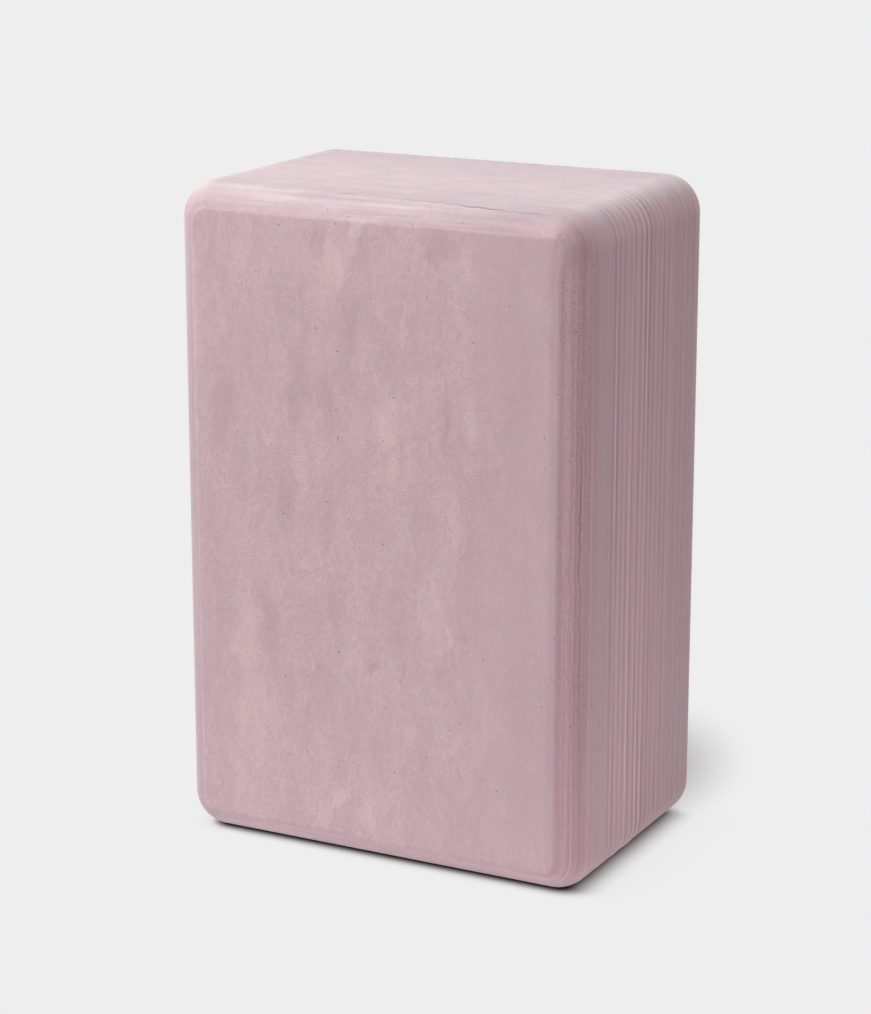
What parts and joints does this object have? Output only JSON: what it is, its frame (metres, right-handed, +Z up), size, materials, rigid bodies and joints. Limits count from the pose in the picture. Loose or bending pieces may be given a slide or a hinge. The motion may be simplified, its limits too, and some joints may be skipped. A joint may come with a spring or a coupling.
{
  "type": "yoga block",
  "caption": "Upright rectangular foam yoga block with rounded edges, laid up from thin tinted sheets, that rests on any face to support hands, hips or head.",
  "frame": {"origin": "middle of the bottom face, on the floor, with the block standing on its small end", "axes": "+Z up the long side, X across the width, Y through the sheets with the front large face towards -Y"},
  "size_m": [0.1524, 0.1016, 0.2286],
  "materials": {
    "foam_rose": "matte closed-cell foam, pale rose",
    "foam_mauve": "matte closed-cell foam, mauve",
    "foam_grey": "matte closed-cell foam, lilac grey"
  },
  "bodies": {
    "root": {"sheet_01_rose": "foam_rose", "sheet_02_mauve": "foam_mauve", "sheet_03_rose": "foam_rose", "sheet_04_grey": "foam_grey", "sheet_05_grey": "foam_grey", "sheet_06_grey": "foam_grey", "sheet_07_rose": "foam_rose", "sheet_08_mauve": "foam_mauve", "sheet_09_rose": "foam_rose", "sheet_10_rose": "foam_rose", "sheet_11_mauve": "foam_mauve", "sheet_12_rose": "foam_rose", "sheet_13_mauve": "foam_mauve", "sheet_14_rose": "foam_rose", "sheet_15_mauve": "foam_mauve", "sheet_16_rose": "foam_rose", "sheet_17_mauve": "foam_mauve", "sheet_18_grey": "foam_grey", "sheet_19_mauve": "foam_mauve", "sheet_20_grey": "foam_grey", "sheet_21_mauve": "foam_mauve", "sheet_22_grey": "foam_grey", "sheet_23_rose": "foam_rose", "sheet_24_mauve": "foam_mauve", "sheet_25_rose": "foam_rose"}
  },
  "joints": []
}
